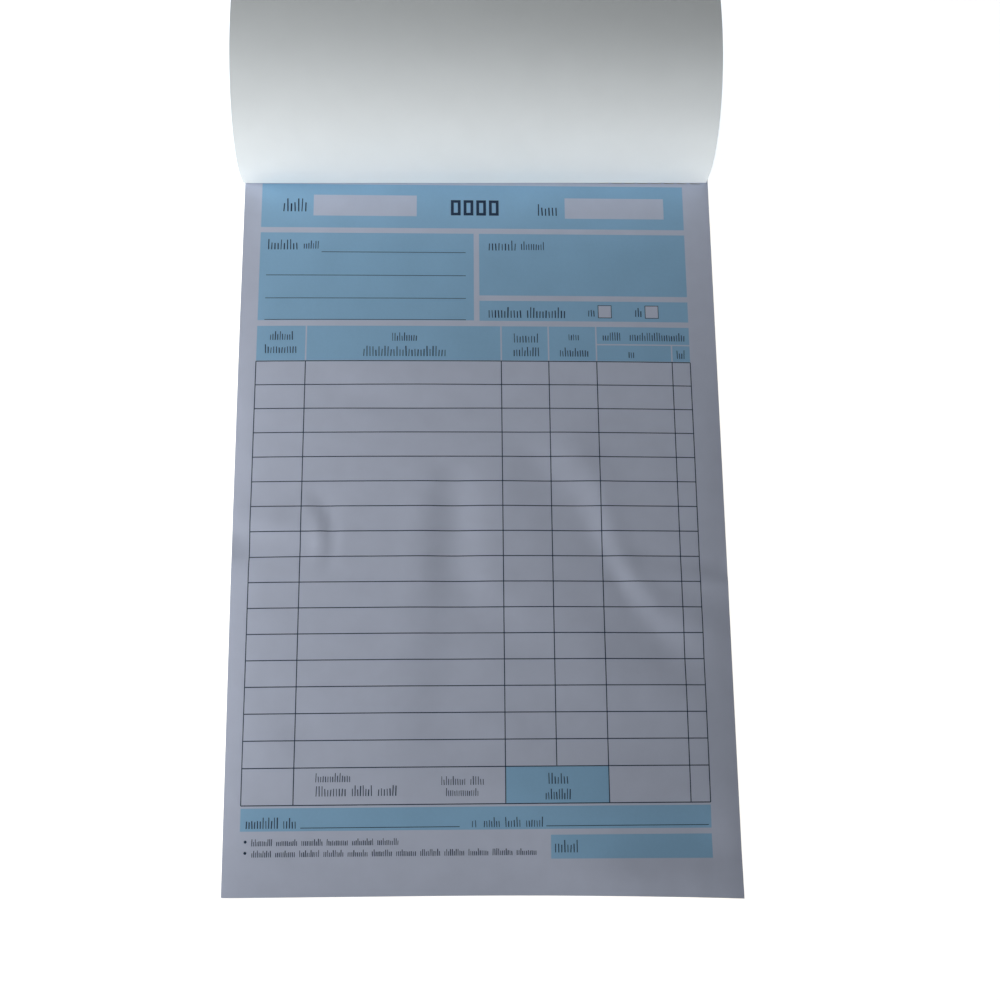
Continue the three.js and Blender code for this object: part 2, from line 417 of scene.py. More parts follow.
def thin_body(name, across, along, place, materials, paint=None, keep=None):
    """A closed thin body over a grid: both faces of each kept cell, and walls where the cells end.

    place(a, b, side) gives a corner, paint(a, b, side) a cell's material, keep(a, b) whether it is there.
    """
    body = bmesh.new()
    corners = {}
    cells = {}
    for column, (left, right) in enumerate(zip(across, across[1:])):
        for row, (near, far) in enumerate(zip(along, along[1:])):
            middle = ((left + right) / 2, (near + far) / 2)
            if keep is None or keep(*middle):
                cells[(column, row)] = middle

    def corner(column, row, side):
        key = (column, row, side)
        if key not in corners:
            corners[key] = body.verts.new(place(across[column], along[row], side))
        return corners[key]

    for (column, row), middle in cells.items():
        ring = ((column, row), (column + 1, row), (column + 1, row + 1), (column, row + 1))
        for side in (LOWER, UPPER):
            order = ring if side == UPPER else ring[::-1]
            face = body.faces.new([corner(*spot, side) for spot in order])
            face.smooth = True
            face.material_index = paint(*middle, side) if paint else 0
        neighbours = ((column, row - 1), (column + 1, row), (column, row + 1), (column - 1, row))
        for index, neighbour in enumerate(neighbours):
            if neighbour in cells:
                continue
            start, stop = ring[index], ring[(index + 1) % 4]
            wall = body.faces.new([corner(*start, LOWER), corner(*stop, LOWER),
                                   corner(*stop, UPPER), corner(*start, UPPER)])
            for edge in wall.edges:
                edge.smooth = False
    return finish_body(body, name, materials)


def finish_body(body, name, materials):
    """Turns a bmesh into an object of the scene, its faces pointing out."""
    bmesh.ops.recalc_face_normals(body, faces=body.faces)
    mesh = bpy.data.meshes.new(name)
    body.to_mesh(mesh)
    body.free()
    for material in materials:
        mesh.materials.append(material)
    piece = bpy.data.objects.new(name, mesh)
    bpy.context.scene.collection.objects.link(piece)
    return piece


def smooth_step(value):
    """0 below 0, 1 above 1, and a soft S between them."""
    value = min(1.0, max(0.0, value))
    return value * value * (3 - 2 * value)


# The printed form, in millimetres as the page is

# Its sides, and the gutter between the two halves of its upper part
FORM_LEFT, FORM_RIGHT = -65.0, 62.0
GUTTER_LEFT, GUTTER_RIGHT = -1.6, 0.0
# Its panels from the head down
HEADER_FOOT, HEADER_TOP = 84.8, CREASE_LINE
PARTY_TOP = 83.1
BUYER_FOOT = 55.1
SELLER_FOOT = 63.1
CHARGE_TOP, CHARGE_FOOT = 61.4, 55.0
TITLES_TOP, TITLES_FOOT = 53.3, 42.55
# Its table and the row of the total, the columns' rules, and the rule that divides the last title
TABLE_TOP = 42.35
ROW_PITCH = 7.26
ROW_COUNT = 16
TOTAL_HEIGHT = 9.8
TOTAL_TOP = TABLE_TOP - ROW_PITCH * ROW_COUNT
TOTAL_FOOT = TOTAL_TOP - TOTAL_HEIGHT
COLUMNS = (FORM_LEFT, -50.7, 6.3, 20.2, 34.3, 56.6, FORM_RIGHT)
AMOUNT_LINE = 47.7
# The strip and the signing box at its foot
CARRIER_TOP, CARRIER_FOOT = -84.3, -90.3
SIGN_LEFT, SIGN_TOP, SIGN_FOOT = 18.3, -91.8, -98.0
# The tick boxes' side, foot and left edges, and the two boxes for entries in the header
BOX_SIDE = 4.1
BOX_FOOT = CHARGE_FOOT + 1.1
CHECK_BOXES = (35.1, 49.1)
ENTRY_BOXES = ((-49.6, 88.7, -18.7, 95.5), (26.0, 88.3, 56.0, 95.0))
# Lines to write on: left and height of each, all of them ending short of the gutter
WRITING_LINES = ((-46.9, 76.9), (-63.0, 69.4), (-63.0, 62.1), (-63.0, 55.3))
WRITING_RIGHT = GUTTER_LEFT - 2.4
# Lines to write on in the strip at the foot: left and right of each, at one height
CARRIER_LINES = ((-48.6, -6.1), (17.1, 61.3))
CARRIER_LINE = CARRIER_FOOT + 0.8
# Widths of the fine rules and of the white lines between the column titles
FINE_RULE = 0.2
SEPARATOR = 0.4

# Lines of lettering as left, foot, right, top; drawn as plain strokes that spell nothing
LABELS = (
    (-58.9, 90.0, -51.4, 94.2), (17.5, 89.2, 23.9, 93.0),
    (-63.0, 77.6, -53.8, 80.9), (-52.4, 77.9, -47.6, 80.5),
    (2.6, 77.7, 11.3, 81.1), (12.4, 77.9, 19.7, 80.7),
    (2.4, 56.0, 12.6, 59.4), (13.8, 56.0, 25.6, 59.4), (32.0, 56.6, 34.3, 59.6), (46.0, 56.6, 48.3, 59.6),
    (-61.4, 48.9, -54.4, 51.6), (-62.8, 44.8, -53.2, 47.7),
    (-25.8, 48.6, -18.2, 51.2), (-34.2, 43.8, -9.7, 47.0),
    (9.8, 48.2, 17.4, 51.2), (9.7, 43.9, 17.6, 46.8),
    (26.0, 49.0, 29.4, 51.6), (23.3, 43.9, 32.1, 46.7),
    (36.1, 49.0, 41.7, 51.6), (44.1, 49.0, 60.8, 51.7),
    (43.6, 43.6, 45.6, 46.2), (57.9, 43.5, 60.6, 46.2),
    (-45.0, -77.6, -35.3, -75.2), (-44.9, -81.3, -36.4, -78.5), (-35.2, -81.3, -29.4, -78.5),
    (-28.2, -81.3, -22.8, -78.5), (-11.2, -78.6, -4.4, -76.3), (-3.4, -78.6, 0.6, -76.3),
    (-9.9, -81.5, -0.9, -79.4), (17.6, -78.5, 23.4, -75.6), (16.8, -82.6, 24.0, -79.8),
    (-63.6, -89.6, -54.4, -86.7), (-53.4, -89.6, -49.6, -86.7),
    (-3.1, -89.7, -1.4, -87.1), (0.2, -89.7, 4.8, -87.1), (5.9, -89.7, 10.4, -87.1),
    (11.5, -89.7, 16.4, -87.1), (19.1, -96.4, 25.7, -93.2),
)
# The heading's place holds a row of plain frames
TITLE = (-8.4, 89.1, 6.0, 94.1)
TITLE_FRAMES = 4
TITLE_GAP = 0.9
TITLE_WEIGHT = 0.85
# Two lines of small lettering at the foot, with about SMALL_WORD to a word, and a dot before each
SMALL_PRINT = ((-61.8, -94.1, -21.4, -92.3), (-61.7, -97.0, 15.4, -95.2))
SMALL_WORD = 6.4
BULLETS = ((-63.4, -93.0), (-63.4, -95.9))
BULLET_RADIUS = 0.4
BULLET_SIDES = 10


def panel_rectangles():
    """The form's pale panels and what is left white in them, as left, foot, right, top and ink."""
    panels = [
        (FORM_LEFT, HEADER_FOOT, FORM_RIGHT, HEADER_TOP, PALE_INK),
        (FORM_LEFT, BUYER_FOOT, GUTTER_LEFT, PARTY_TOP, PALE_INK),
        (GUTTER_RIGHT, SELLER_FOOT, FORM_RIGHT, PARTY_TOP, PALE_INK),
        (GUTTER_RIGHT, CHARGE_FOOT, FORM_RIGHT, CHARGE_TOP, PALE_INK),
        (FORM_LEFT, TITLES_FOOT, FORM_RIGHT, TITLES_TOP, PALE_INK),
        (COLUMNS[2], TOTAL_FOOT, COLUMNS[4], TOTAL_TOP, PALE_INK),
        (FORM_LEFT, CARRIER_FOOT, FORM_RIGHT, CARRIER_TOP, PALE_INK),
        (SIGN_LEFT, SIGN_FOOT, FORM_RIGHT, SIGN_TOP, PALE_INK),
    ]
    panels += [(*box, PAPER) for box in ENTRY_BOXES]
    half = SEPARATOR / 2
    for column in COLUMNS[1:5]:
        panels.append((column - half, TITLES_FOOT, column + half, TITLES_TOP, PAPER))
    panels.append((COLUMNS[4], AMOUNT_LINE - half, FORM_RIGHT, AMOUNT_LINE + half, PAPER))
    panels.append((COLUMNS[5] - half, TITLES_FOOT, COLUMNS[5] + half, AMOUNT_LINE, PAPER))
    return panels


def level_rule(left, right, y, width):
    """A rule across the page."""
    return (left, y - width / 2, right, y + width / 2, DARK_INK)


def upright_rule(x, foot, top, width):
    """A rule along the page."""
    return (x - width / 2, foot, x + width / 2, top, DARK_INK)


def rule_rectangles(width):
    """The form's dark rules and its two tick boxes."""
    rules = [level_rule(FORM_LEFT, FORM_RIGHT, TABLE_TOP - ROW_PITCH * row, width)
             for row in range(ROW_COUNT + 1)]
    rules.append(level_rule(FORM_LEFT, FORM_RIGHT, TOTAL_FOOT, width))
    for column in COLUMNS:
        # the fourth rule ends above the total's panel
        foot = TOTAL_TOP if column == COLUMNS[3] else TOTAL_FOOT
        rules.append(upright_rule(column, foot, TABLE_TOP, width))
    rules += [level_rule(left, WRITING_RIGHT, y, FINE_RULE) for left, y in WRITING_LINES]
    rules += [level_rule(left, right, CARRIER_LINE, FINE_RULE) for left, right in CARRIER_LINES]
    for left in CHECK_BOXES:
        right = left + BOX_SIDE
        top = BOX_FOOT + BOX_SIDE
        rules.append((left, BOX_FOOT, right, top, DARK_INK))
        rules.append((left + FINE_RULE, BOX_FOOT + FINE_RULE, right - FINE_RULE, top - FINE_RULE, PAPER))
    return rules


# How the guillotine left the leaves out of square: the left edge drifts in from its place at the crease
# towards the foot, and the foot edge rises a little and falls off to the right
TRIM_SIDE_POWER = 12
TRIM_FOOT_POWER = 30
TRIM_LEFT_OUT = 0.27
TRIM_LEFT_IN = 1.2
TRIM_FOOT_RISE = 0.25
TRIM_FOOT_FALL = 1.6
TRIM_FALL_START = -20.0
TRIM_FALL_POWER = 2.2

# Largest cells of a leaf's grid: on the top leaf, in its bend and on a flat one
LEAF_STEP = 1.8
BEND_STEP = 0.5
FLAT_STEP = 12.0


def trimmed(x, y):
    """Where a point of a square leaf lies on the pad, which is a little out of square."""
    down = max(0.0, (CREASE_LINE - y) / (CREASE_LINE - FOOT))
    near_left = max(0.0, -x / HALF_PAGE) ** TRIM_SIDE_POWER
    near_foot = down ** TRIM_FOOT_POWER
    to_right = max(0.0, (x - TRIM_FALL_START) / (HALF_PAGE - TRIM_FALL_START))
    return (x + near_left * (TRIM_LEFT_IN * down ** 2 - TRIM_LEFT_OUT),
            y + near_foot * (TRIM_FOOT_RISE - TRIM_FOOT_FALL * to_right ** TRIM_FALL_POWER))


def make_form_leaf(name, materials, rise, floor, thickness, shapes, step=LEAF_STEP, bend=0.0):
    """A leaf from its foot to the crease with the form printed on its upper face.

    Its grid is finer over the length in millimetres by the crease that bends.
    """
    folds = [CREASE_LINE - index * BEND_STEP for index in range(math.ceil(bend / BEND_STEP) + 1)]
    sides = [edge for left, foot, right, top, ink in shapes for edge in (left, right)]
    ends = [edge for left, foot, right, top, ink in shapes for edge in (foot, top)]
    across = grid_lines(-HALF_PAGE, HALF_PAGE, step, sides)
    along = grid_lines(FOOT, CREASE_LINE, step, ends + folds)

    def place(x, y, side):
        lift = thickness if side == UPPER else 0.0
        real_x, real_y = trimmed(x, y)
        return Vector((real_x * MM, real_y * MM, floor + lift + rise(x, y) * MM))

    def paint(x, y, side):
        if side == LOWER:
            return PAPER
        for left, foot, right, top, ink in reversed(shapes):
            if left < x < right and foot < y < top:
                return ink
        return PAPER

    return thin_body(name, across, along, place, materials, paint=paint)


# How the top leaf lies, in millimetres. A swell or dent is x, y, half widths, tilt in degrees and height
SWELLS = (
    (-62.0, -9.0, 13.0, 5.5, 0.0, 0.26),
    (-63.0, -32.0, 9.0, 9.0, 0.0, 0.18),
    (-67.0, 22.0, 8.0, 18.0, 0.0, 0.16),
    (25.5, 11.0, 8.0, 7.0, -20.0, 0.14),
    (60.0, -54.0, 9.0, 24.0, 0.0, 0.30),
    (66.0, 14.0, 7.0, 12.0, 0.0, 0.16),
    (34.0, -94.0, 19.0, 16.0, 0.0, 0.90),
)
# A wave is a line of points, each with x, y, width and height; the leaf rises to the left of the line
WAVES = (
    ((12, 27, 5, 0), (22, 14, 6, 0.14), (30, 4, 4.6, 0.19), (35, -11, 3.4, 0.18),
     (41, -23, 2.6, 0.18), (48, -33, 3.4, 0.19), (57, -39, 5, 0.20), (71, -47, 6, 0)),
    ((8, 16, 5, 0), (12.7, 3, 6, -0.13), (20, -12, 7, -0.12), (28, -28, 7, -0.08),
     (38, -43, 6, -0.16), (50, -48, 6, -0.16), (64, -51, 5, 0)),
    ((-3, 14, 4, 0), (-2.6, 2, 5, 0.10), (-2.6, -18, 5.5, 0.15), (1, -26, 5, 0.14),
     (9, -32, 5, 0.10), (22, -42, 6, 0)),
    ((-12, 14, 4, 0), (-12.2, 0, 4.5, -0.16), (-12.5, -18, 5, -0.18), (-14, -34, 6, -0.12),
     (-16, -60, 7, -0.12), (-17, -88, 7, 0)),
    ((-52, 5, 2.4, 0), (-44.5, -4, 1.7, -0.17), (-43.2, -12, 1.5, -0.19), (-45.2, -22, 2.2, 0)),
    ((-74, -7.5, 4, 0.26), (-60, -8.5, 4, 0.28), (-49, -9, 3.4, 0.16), (-40, -9, 3, 0)),
    ((-74, -17.3, 2.2, -0.24), (-62, -17.2, 2.5, -0.20), (-46, -16, 3, 0)),
    ((28, -13, 3, 0), (44, -17, 2.8, -0.10), (59, -19.5, 2.4, -0.12), (74, -22, 2.4, -0.20)),
    ((-58, 46, 5, 0), (-34, 34, 5, 0.12), (-18, 31.5, 4.5, 0.16), (0, 35, 5, 0.10), (14, 44, 5, 0)),
    ((-46, 31, 2, 0), (-31, 27, 2.4, -0.07), (-18, 25.5, 2.4, -0.08), (-2, 28.5, 2.4, -0.05),
     (7, 34, 2.4, 0)),
    ((-62, -58, 5, 0), (-53, -66, 5, -0.10), (-47, -78, 5, 0)),
    ((12, -50, 6, 0), (26, -59, 7, 0.10), (40, -66, 6, 0)),
    ((20, -100, 6, 0), (42, -99, 6, -0.40), (58, -98, 6, -0.40), (68, -98, 5, 0)),
)
WAVE_STRENGTH = 1.35
# The crown falls to both sides, and dips a little close to the side edges
ARCH_POWER = 2.4
RIM_DROP = 0.40
RIM_REACH = 5.0
RIM_SWELL = 0.45
# The crease holds the leaf down over this length
HELD_LENGTH = 95.0
# The crown is lower at the foot, and less full below the middle
FOOT_SHARE = 0.30
FOOT_FALL = 34.0
FOOT_FULLNESS = 0.35
FULLNESS_REACH = 80.0
# The right corner of the foot stands up a little
CORNER_LIFT = 0.6
CORNER_REACH = 7.5
LEAST_RISE = 0.01


def swell(x, y, spot):
    """Height of one smooth swell or dent at a point."""
    middle_x, middle_y, half_x, half_y, tilt, height = spot
    turn = math.radians(tilt)
    away_x = (x - middle_x) * math.cos(turn) - (y - middle_y) * math.sin(turn)
    away_y = (x - middle_x) * math.sin(turn) + (y - middle_y) * math.cos(turn)
    reach = (away_x / half_x) ** 2 + (away_y / half_y) ** 2
    return height * math.exp(-reach)


def wave(x, y, points):
    """Height of a wave that rises to the left of a line of points, each with its own width and height."""
    nearest = None
    for (x0, y0, width0, height0), (x1, y1, width1, height1) in zip(points, points[1:]):
        step_x, step_y = x1 - x0, y1 - y0
        share = ((x - x0) * step_x + (y - y0) * step_y) / (step_x ** 2 + step_y ** 2)
        share = max(0.0, min(1.0, share))
        off_x = x - x0 - step_x * share
        off_y = y - y0 - step_y * share
        distance = math.hypot(off_x, off_y)
        if nearest is None or distance < nearest[0]:
            side = 1 if step_x * off_y - step_y * off_x > 0 else -1
            width = width0 + (width1 - width0) * share
            height = height0 + (height1 - height0) * share
            nearest = (distance, side, width, height)
    distance, side, width, height = nearest
    off = distance / width
    # greatest one width away from the line, where it is the given height
    return height * side * off * math.exp(0.5 - 0.5 * off * off)


def leaf_rise(x, y, crown):
    """How far the top leaf stands off the pad, in millimetres; least at the crease, which holds it."""
    from_foot = y - FOOT
    held = smooth_step((CREASE_LINE - y) / HELD_LENGTH)
    arch = 1 - (abs(x) / HALF_PAGE) ** ARCH_POWER
    foot = FOOT_SHARE + (1 - FOOT_SHARE) * smooth_step(from_foot / FOOT_FALL)
    rim = RIM_DROP * (1 - math.exp(-(HALF_PAGE - abs(x)) / RIM_REACH))
    near_corner = ((HALF_PAGE - x) ** 2 + from_foot ** 2) / CORNER_REACH ** 2
    swells = sum(swell(x, y, spot) for spot in SWELLS) * (RIM_SWELL + (1 - RIM_SWELL) * arch)
    waves = sum(wave(x, y, line) for line in WAVES) * WAVE_STRENGTH
    fullness = 1 - FOOT_FULLNESS * (1 - smooth_step(-y / FULLNESS_REACH))
    free_rise = crown * fullness * arch * foot + rim + swells + waves
    return max(LEAST_RISE, held * free_rise + CORNER_LIFT * math.exp(-near_corner))


def flat(x, y):
    """A leaf that lies flat."""
    return 0.0


# Lettering: rows of plain strokes that stand for printed words and spell nothing

# How far the ink's body reaches into the paper and stands out of it, and the length of its pieces
STROKE_SUNK = 0.02
STROKE_PROUD = 0.015
STROKE_STEP = 1.0
# A stroke's width: as a share of a label's height, in millimetres in the small print, and its spread
LABEL_WEIGHT = 0.08
SMALL_WEIGHT = 0.19
WEIGHT_SPREAD = (0.8, 1.35)
# The gap between two words of the small print
WORD_GAP = 0.9
# Strokes stand this share of the height apart, lean by up to LEAN of that, and have mixed heights
STROKE_PITCH = 0.27
LEAN = 0.08
STROKE_HEIGHTS = (1.0, 0.7, 0.62, 0.66, 0.7, 0.95, 0.6)


def add_stroke(body, path, width, surface, closed=False):
    """A flat band of ink along a path of points in millimetres, a little proud of the paper."""
    count = len(path)
    rings = []
    for index, (x, y) in enumerate(path):
        here = Vector((x, y))
        before = Vector(path[index - 1]) if closed or index else None
        after = Vector(path[(index + 1) % count]) if closed or index < count - 1 else None
        arriving = (here - before).normalized() if before else (after - here).normalized()
        leaving = (after - here).normalized() if after else arriving
        both = arriving + leaving
        # the longer this is, the flatter the corner, so a mitred corner keeps the stroke's width
        reach = width / both.length_squared
        side_x, side_y = -both.y * reach, both.x * reach
        ring = []
        for sign, height in ((1, -STROKE_SUNK), (-1, -STROKE_SUNK), (-1, STROKE_PROUD), (1, STROKE_PROUD)):
            spot_x, spot_y = x + sign * side_x, y + sign * side_y
            real_x, real_y = trimmed(spot_x, spot_y)
            ring.append(body.verts.new((real_x * MM, real_y * MM, surface(spot_x, spot_y) + height * MM)))
        rings.append(ring)
    spans = count if closed else count - 1
    for index in range(spans):
        ring, following = rings[index], rings[(index + 1) % count]
        for corner in range(4):
            other = (corner + 1) % 4
            body.faces.new((ring[corner], ring[other], following[other], following[corner]))
    if not closed:
        body.faces.new(rings[0][::-1])
        body.faces.new(rings[-1])


def stroke_points(start, stop):
    """The points of a straight stroke, close enough together to follow the paper."""
    count = max(1, math.ceil(math.dist(start, stop) / STROKE_STEP))
    shares = [index / count for index in range(count + 1)]
    return [(start[0] + (stop[0] - start[0]) * share, start[1] + (stop[1] - start[1]) * share)
            for share in shares]


def add_word(body, spot, weight, surface, dice):
    """Fills a rectangle with plain upright strokes of mixed heights, which spell nothing."""
    left, foot, right, top = spot
    tall = top - foot
    count = max(2, round((right - left) / (tall * STROKE_PITCH)))
    pitch = (right - left) / count
    for index in range(count):
        height = tall * dice.choice(STROKE_HEIGHTS)
        lean = dice.uniform(-LEAN, LEAN) * pitch
        stroke = weight * dice.uniform(*WEIGHT_SPREAD)
        x = left + (index + 0.5) * pitch
        add_stroke(body, stroke_points((x - lean, foot), (x + lean, foot + height)), stroke, surface)


def make_lettering(name, materials, surface, seed):
    """All the lettering of one leaf as one thin body of ink."""
    dice = random.Random(seed)
    body = bmesh.new()
    for spot in LABELS:
        add_word(body, spot, LABEL_WEIGHT * (spot[3] - spot[1]), surface, dice)
    left, foot, right, top = TITLE
    pitch = (right - left + TITLE_GAP) / TITLE_FRAMES
    half = TITLE_WEIGHT / 2
    for index in range(TITLE_FRAMES):
        start = left + index * pitch + half
        stop = left + (index + 1) * pitch - TITLE_GAP - half
        corners = [(start, foot + half), (stop, foot + half), (stop, top - half), (start, top - half)]
        sides = zip(corners, corners[1:] + corners[:1])
        around = [point for side in sides for point in stroke_points(*side)[:-1]]
        add_stroke(body, around, TITLE_WEIGHT, surface, closed=True)
    for left, foot, right, top in SMALL_PRINT:
        words = round((right - left) / SMALL_WORD)
        pitch = (right - left) / words
        for index in range(words):
            start = left + index * pitch
            add_word(body, (start, foot, start + pitch - WORD_GAP, top), SMALL_WEIGHT, surface, dice)
    turns = [math.tau * step / BULLET_SIDES for step in range(BULLET_SIDES)]
    for x, y in BULLETS:
        ring = [(x + BULLET_RADIUS / 2 * math.cos(a), y + BULLET_RADIUS / 2 * math.sin(a)) for a in turns]
        add_stroke(body, ring, BULLET_RADIUS, surface, closed=True)
    return finish_body(body, name, materials)


def form_materials(settings, paper_name, paper_colour):
    """Paper and the two inks, in the order of their places on a leaf."""
    pale_ink = tinted(settings.pale_ink, paper_colour, settings.paper)
    return [
        bond_paper(paper_name, paper_colour),
        printing_ink(f"pale_blue_offset_ink_on_{paper_name}", pale_ink),
        printing_ink(f"dark_offset_ink_on_{paper_name}", settings.dark_ink, mottle=0.1),
    ]


def tinted(ink, paper, white):
    """A see-through ink's colour on another paper than the white one it is given for."""
    return tuple(shade * min(1.0, ground / pale) for shade, ground, pale in zip(ink, paper, white))


# The tear-off perforation: slits between ties, just above the crease
SLIT_LENGTH = 3.0
TIE_LENGTH = 1.0
SLIT_FOOT = CREASE_LINE + 1.05
SLIT_TOP = CREASE_LINE + 1.35
STRIP_STEP = 4.0


def crease_strip(name, node, materials):
    """The bound strip of a leaf, from the crease to the head, with the slits of the perforation."""
    low, high = node_box(node)
    pitch = SLIT_LENGTH + TIE_LENGTH
    count = math.floor((2 * HALF_PAGE - TIE_LENGTH) / pitch)
    first = (TIE_LENGTH - count * pitch) / 2
    starts = [first + index * pitch for index in range(count)]
    stops = [start + SLIT_LENGTH for start in starts]
    across = grid_lines(-HALF_PAGE, HALF_PAGE, STRIP_STEP, starts + stops)
    along = grid_lines(CREASE_LINE, HEAD, STRIP_STEP, (SLIT_FOOT, SLIT_TOP))

    def keep(x, y):
        if not SLIT_FOOT < y < SLIT_TOP:
            return True
        return not any(start < x < stop for start, stop in zip(starts, stops))

    def place(x, y, side):
        real_x, real_y = trimmed(x, y)
        return Vector((real_x * MM, real_y * MM, high.z if side == UPPER else low.z))

    return thin_body(name, across, along, place, materials, keep=keep)


# Both printed leaves of the first set carry the same lettering
LETTERING_SEED = 7


class BILLBOOK_OT_form_leaves(bpy.types.Operator):
    """Makes the printed top original and the printed duplicate under it"""

    bl_idname = "billbook.form_leaves"
    bl_label = "Printed leaves"

    def execute(self, context):
        settings = context.scene.bill_book_form
        inks = form_materials(settings, "white_bond_paper", tuple(settings.paper))
        shapes = panel_rectangles() + rule_rectangles(settings.rule_width / MM)
        crown = settings.crown / MM
        low, high = node_box("leaf_01_original")

        def rise(x, y):
            return leaf_rise(x, y, crown)

        leaf = make_form_leaf("top_original", inks, rise, low.z, high.z - low.z, shapes,
                              bend=settings.bend_length / MM)
        print_ink = [printing_ink("dark_offset_lettering", tuple(settings.dark_ink), mottle=0.1)]
        lettering = make_lettering("top_original_lettering", print_ink,
                                   lambda x, y: high.z + rise(x, y) * MM, LETTERING_SEED)
        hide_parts("leaf_01_original")
        for piece, finish in ((leaf, "original_paper"), (lettering, "dark_ink")):
            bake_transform(piece)
        strip = crease_strip("top_original_bound_strip", "leaf_01_original", [inks[PAPER]])
        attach(strip, "pad")

        low, high = node_box("leaf_01_duplicate")
        canary = form_materials(settings, "canary_bond_paper", tuple(settings.duplicate))
        leaf = make_form_leaf("top_duplicate", canary, flat, low.z, high.z - low.z, shapes, step=FLAT_STEP)
        lettering = make_lettering("top_duplicate_lettering", print_ink, lambda x, y: high.z,
                                   LETTERING_SEED)
        strip = crease_strip("top_duplicate_bound_strip", "leaf_01_duplicate", [canary[PAPER]])
        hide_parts("leaf_01_duplicate")
        for piece, finish in ((leaf, "duplicate_paper"), (lettering, "dark_ink"),
                              (strip, "duplicate_paper")):
            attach(piece, "pad")
        return {"FINISHED"}


# How far a cut sheet and each point of its edge stray, in millimetres, and the points along an edge
SHEET_STRAY = 0.10
EDGE_STRAY = 0.025
EDGE_POINTS = 9


def loose_sheet(body, low, high, seed, material_index):
    """Adds one cut sheet whose side and foot edges stray a little, as in a pad trimmed by guillotine."""
    dice = random.Random(seed)
    shift_x = dice.uniform(-SHEET_STRAY, SHEET_STRAY)
    shift_foot = dice.uniform(-SHEET_STRAY, SHEET_STRAY)
    left, right, head, foot = low.x / MM, high.x / MM, high.y / MM, low.y / MM + shift_foot
    shares = [index / (EDGE_POINTS - 1) for index in range(EDGE_POINTS)]
    outline = [(right, foot + (head - foot) * share) for share in shares]
    outline += [(left, head + (foot - head) * share) for share in shares]
    outline += [(left + (right - left) * share, foot) for share in shares[1:-1]]
    bottom = []
    top = []
    for x, y in outline:
        stray = shift_x + dice.uniform(-EDGE_STRAY, EDGE_STRAY)
        real_x, real_y = trimmed(x, y)
        real_x += stray
        bottom.append(body.verts.new((real_x * MM, real_y * MM, low.z)))
        top.append(body.verts.new((real_x * MM, real_y * MM, high.z)))
    faces = [body.faces.new(bottom[::-1]), body.faces.new(top)]
    for index in range(len(outline)):
        following = (index + 1) % len(outline)
        faces.append(body.faces.new((bottom[index], bottom[following], top[following], top[index])))
    for face in faces:
        face.material_index = material_index


class BILLBOOK_OT_loose_leaves(bpy.types.Operator):
    """Makes the loose sets below the first, white originals on canary duplicates"""

    bl_idname = "billbook.loose_leaves"
    bl_label = "Loose leaves"

    def execute(self, context):
        settings = context.scene.bill_book_form
        white = bond_paper("white_bond_leaf", tuple(settings.paper))
        canary = bond_paper("canary_bond_leaf", tuple(settings.duplicate))
        made = [node for node in frame["nodes"]
                if node.startswith("leaf_") and not node.startswith("leaf_01")]
        for seed, node in enumerate(sorted(made)):
            low, high = node_box(node)
            is_original = node.endswith("original")
            body = bmesh.new()
            loose_sheet(body, low, high, seed, 0)
            piece = finish_body(body, f"{node}_sheet", [white if is_original else canary])
            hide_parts(node)
            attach(piece, "pad")
        return {"FINISHED"}


# A block's sheets, with each block's random draws well apart from the next one's
SHEETS_PER_BLOCK = 10
BLOCK_SEEDS = 100
LEAF_PITCH = 0.1 * MM
LEAF_THICKNESS = LEAF_HIGH.z - LEAF_LOW.z


class BILLBOOK_OT_leaf_blocks(bpy.types.Operator):
    """Makes the lower sets, ten thin sheets to a block, white and canary by turns"""

    bl_idname = "billbook.leaf_blocks"
    bl_label = "Leaf blocks"

    def execute(self, context):
        settings = context.scene.bill_book_form
        papers = [bond_paper("canary_bond_block", tuple(settings.duplicate)),
                  bond_paper("white_bond_block", tuple(settings.paper))]
        for block, node in enumerate(sorted(n for n in frame["nodes"] if n.startswith("sets_"))):
            low, high = node_box(node)
            body = bmesh.new()
            for index in range(SHEETS_PER_BLOCK):
                floor = low.z + index * LEAF_PITCH
                sheet_low = Vector((low.x, low.y, floor))
                sheet_high = Vector((high.x, high.y, floor + LEAF_THICKNESS))
                seed = BLOCK_SEEDS * (block + 1) + index
                loose_sheet(body, sheet_low, sheet_high, seed, index % 2)
            piece = finish_body(body, f"{node}_sheets", papers)
            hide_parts(node)
            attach(piece, "pad")
        return {"FINISHED"}


# The corner clipped off the carbon sheet, and its grid's cells, in millimetres
CARBON_CORNER = 6.0
CARBON_STEP = 8.0


class BILLBOOK_OT_carbon_sheet(bpy.types.Operator):
    """Makes the loose carbon sheet under the first original"""

    bl_idname = "billbook.carbon_sheet"
    bl_label = "Carbon sheet"

    def execute(self, context):
        low, high = node_box("carbon_sheet")
        corner_x = high.x / MM - CARBON_CORNER
        corner_y = low.y / MM + CARBON_CORNER
        across = grid_lines(low.x / MM, high.x / MM, CARBON_STEP, (corner_x,))
        along = grid_lines(low.y / MM, high.y / MM, CARBON_STEP, (corner_y,))

        def place(x, y, side):
            # one foot corner is clipped, so that a thumb finds the sheet under it
            over = (x - corner_x) + (corner_y - y) - CARBON_CORNER
            if over > 0:
                x -= over / 2
                y += over / 2
            return Vector((x * MM, y * MM, high.z if side == UPPER else low.z))

        coat = carbon_coat("waxed_carbon_tissue", CARBON_BLUE)
        piece = thin_body("carbon_sheet_waxed", across, along, place, [coat])
        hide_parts("carbon_sheet")
        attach(piece, "carbon")
        return {"FINISHED"}


# The cover: one card whose middle line is straight under the tape, folds at the crease and curls back

